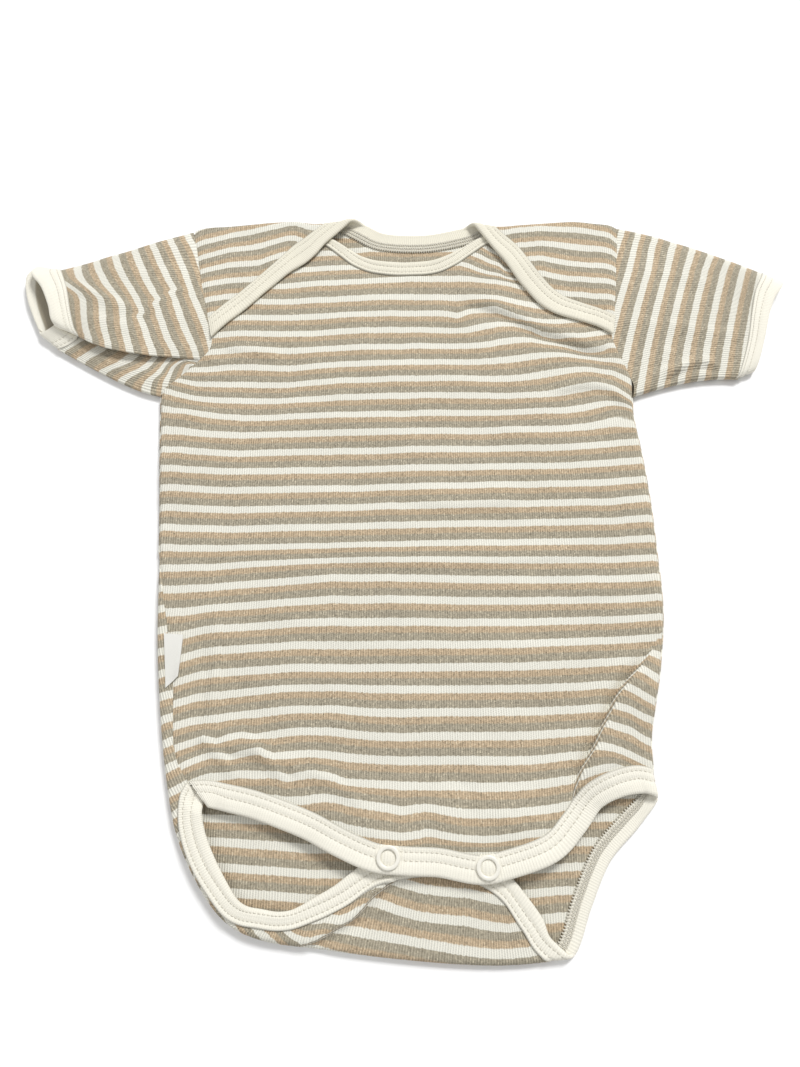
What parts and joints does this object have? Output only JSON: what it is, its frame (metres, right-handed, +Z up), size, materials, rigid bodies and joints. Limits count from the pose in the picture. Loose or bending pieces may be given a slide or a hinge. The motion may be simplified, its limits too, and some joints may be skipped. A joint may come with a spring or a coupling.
{
  "type": "baby bodysuit laid flat",
  "caption": "Short-sleeved striped rib baby bodysuit with envelope shoulders, bound neck, cuffs and legs and a snapped crotch flap, laid flat on its back.",
  "frame": {"origin": "on the back's flat underside at the middle of the garment, on the surface that it lies on", "axes": "+X to the right as seen from above with the neck away from the viewer, +Y towards the neck, +Z up through the front"},
  "size_m": [0.3993, 0.3622, 0.0112],
  "materials": {
    "striped_rib": "matt rib knit in cream, tan and heathered grey-beige stripes",
    "cream_rib": "matt cream rib binding",
    "snap_enamel": "satin cream enamel",
    "label_tape": "smooth woven tape, blank"
  },
  "bodies": {
    "root": {"front_panel": "striped_rib", "back_panel": "striped_rib", "sleeve_left": "striped_rib", "sleeve_right": "striped_rib", "neck_binding_front": "cream_rib", "neck_binding_back": "cream_rib", "cuff_binding_left": "cream_rib", "cuff_binding_right": "cream_rib", "leg_binding_front": "cream_rib", "leg_binding_back": "cream_rib", "snap_ring_left": "snap_enamel", "snap_ring_right": "snap_enamel", "snap_core_left": "snap_enamel", "snap_core_right": "snap_enamel", "snap_back_left": "snap_enamel", "snap_back_right": "snap_enamel", "side_label": "label_tape"}
  },
  "joints": []
}
